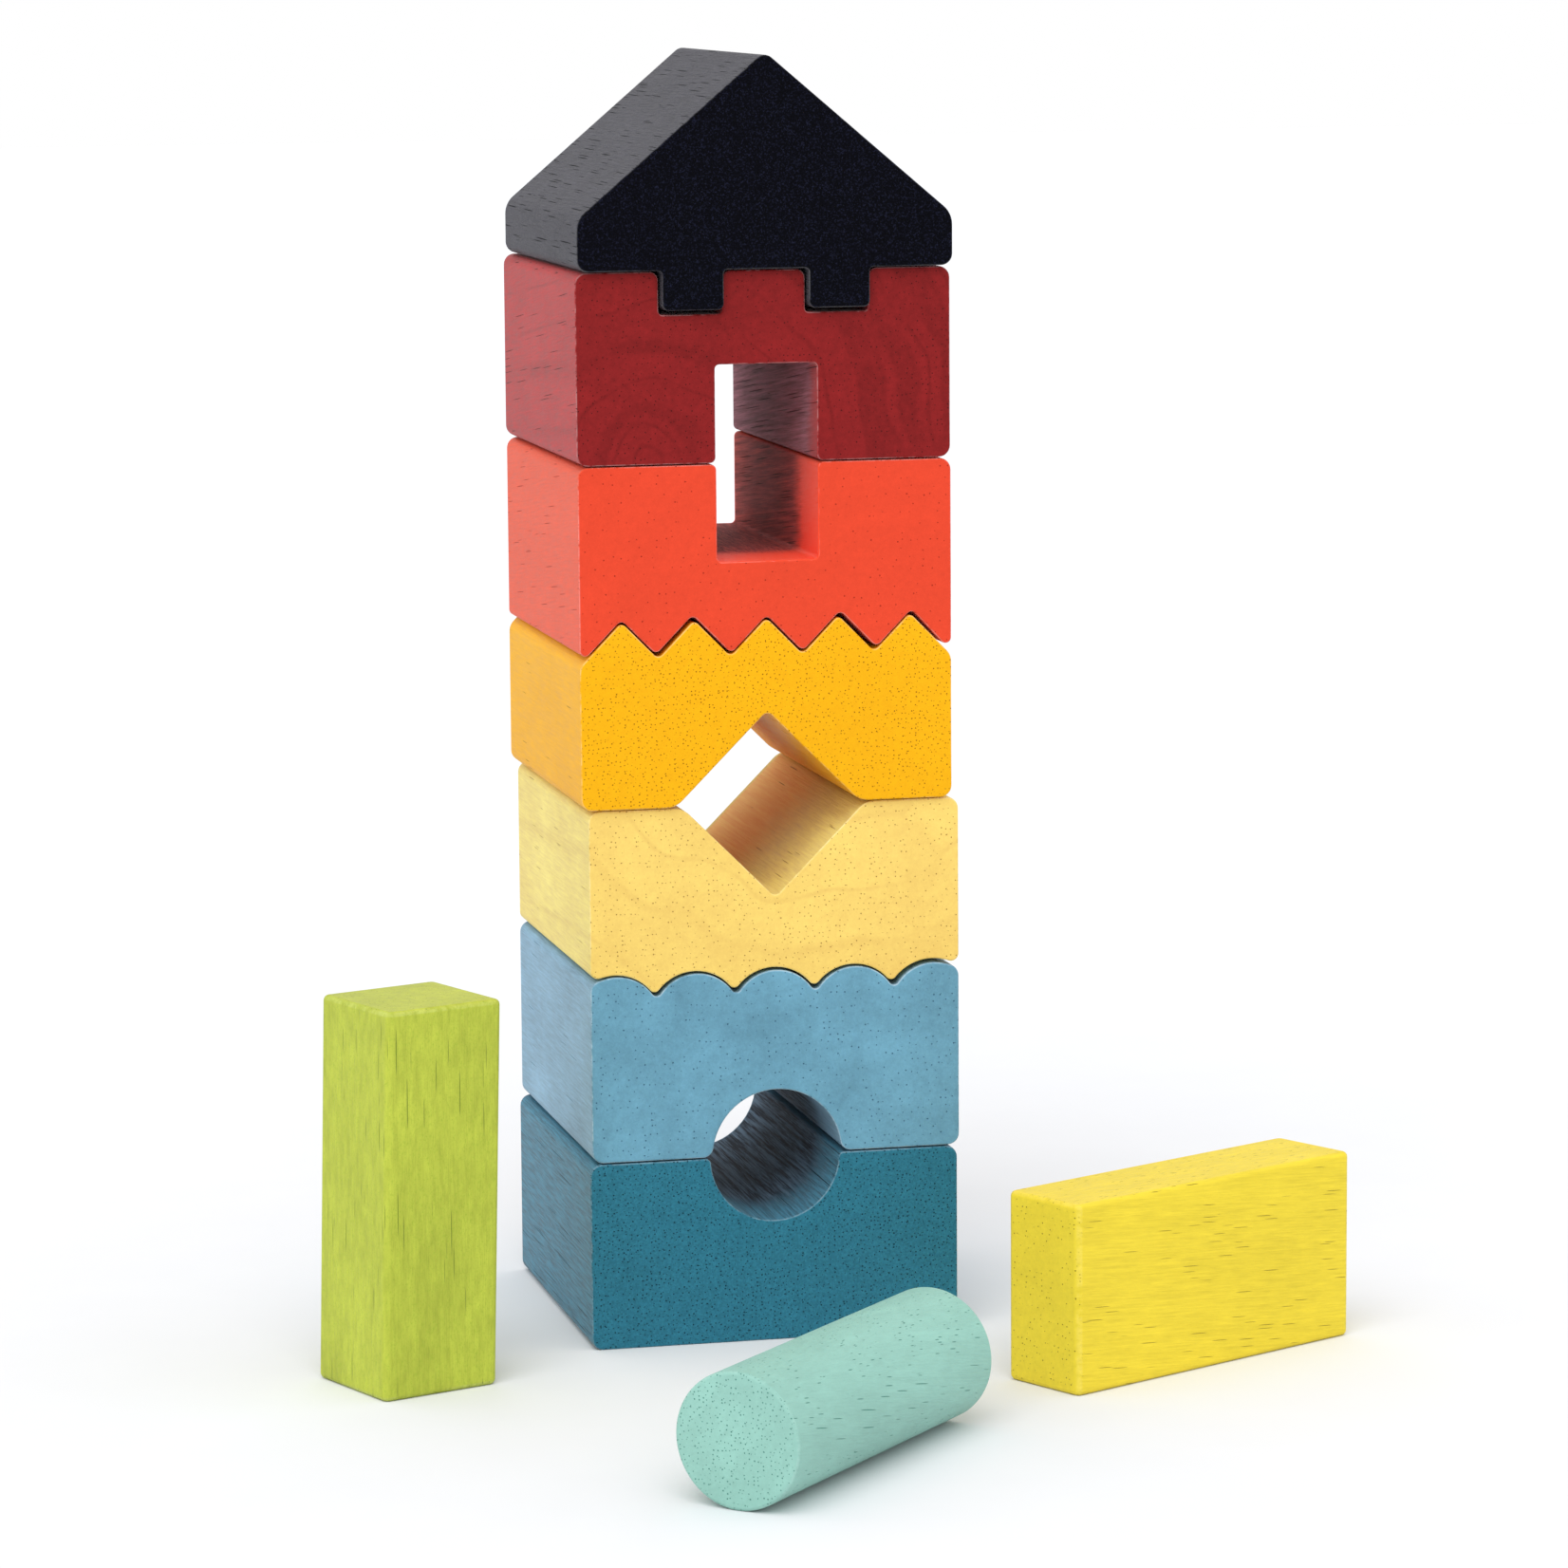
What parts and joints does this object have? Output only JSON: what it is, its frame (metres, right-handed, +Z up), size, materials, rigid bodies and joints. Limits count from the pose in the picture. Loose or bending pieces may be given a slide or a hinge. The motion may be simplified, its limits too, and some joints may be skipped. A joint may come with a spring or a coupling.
{
  "type": "stacking puzzle tower",
  "caption": "Painted wooden stacking tower of interlocking blocks with round, diamond and slot holes, beside a loose rod, square bar and flat brick that fit the holes.",
  "frame": {"origin": "centre of the lowest block's underside, on the surface that the tower stands on", "axes": "+Z up the tower, +X to the right across the profiled face, +Y along the wood grain away from the viewer of that face"},
  "size_m": [0.2182, 0.2214, 0.2723],
  "materials": {
    "teal_paint": "thin satin paint with the wood's pores showing",
    "light_blue_paint": "thin satin paint with the wood's pores showing",
    "cream_paint": "thin satin paint with the wood's pores showing",
    "amber_paint": "thin satin paint with the wood's pores showing",
    "red_paint": "thin satin paint with the wood's pores showing",
    "crimson_paint": "thin satin paint with the wood's pores showing",
    "black_paint": "thin satin paint with the wood's pores showing",
    "mint_paint": "thin satin paint with the wood's pores showing",
    "green_paint": "thin satin paint with the wood's pores showing",
    "yellow_paint": "thin satin paint with the wood's pores showing"
  },
  "bodies": {
    "teal_base": {"teal_base_block": "teal_paint"},
    "light_blue": {"light_blue_scallop_block": "light_blue_paint"},
    "cream": {"cream_valley_block": "cream_paint"},
    "amber": {"amber_zigzag_block": "amber_paint"},
    "red": {"red_slot_block": "red_paint"},
    "crimson": {"crimson_battlement_block": "crimson_paint"},
    "roof": {"black_roof_block": "black_paint"},
    "rod": {"mint_round_rod": "mint_paint"},
    "bar": {"green_square_bar": "green_paint"},
    "brick": {"yellow_flat_brick": "yellow_paint"}
  },
  "joints": [
    {"name": "lift_light_blue", "type": "slide", "parent": "teal_base", "child": "light_blue", "axis": [0, 0, 1], "range_m": [0, 0.045]},
    {"name": "lift_cream", "type": "slide", "parent": "light_blue", "child": "cream", "axis": [0, 0, 1], "range_m": [0, 0.045]},
    {"name": "lift_amber", "type": "slide", "parent": "cream", "child": "amber", "axis": [0, 0, 1], "range_m": [0, 0.045]},
    {"name": "lift_red", "type": "slide", "parent": "amber", "child": "red", "axis": [0, 0, 1], "range_m": [0, 0.045]},
    {"name": "lift_crimson", "type": "slide", "parent": "red", "child": "crimson", "axis": [0, 0, 1], "range_m": [0, 0.045]},
    {"name": "lift_roof", "type": "slide", "parent": "crimson", "child": "roof", "axis": [0, 0, 1], "range_m": [0, 0.045]},
    {"name": "lift_rod", "type": "slide", "parent": "teal_base", "child": "rod", "axis": [0, 0, 1], "range_m": [0, 0.0264]},
    {"name": "lift_bar", "type": "slide", "parent": "teal_base", "child": "bar", "axis": [0, 0, 1], "range_m": [0, 0.0749]},
    {"name": "lift_brick", "type": "slide", "parent": "teal_base", "child": "brick", "axis": [0, 0, 1], "range_m": [0, 0.1677]}
  ]
}
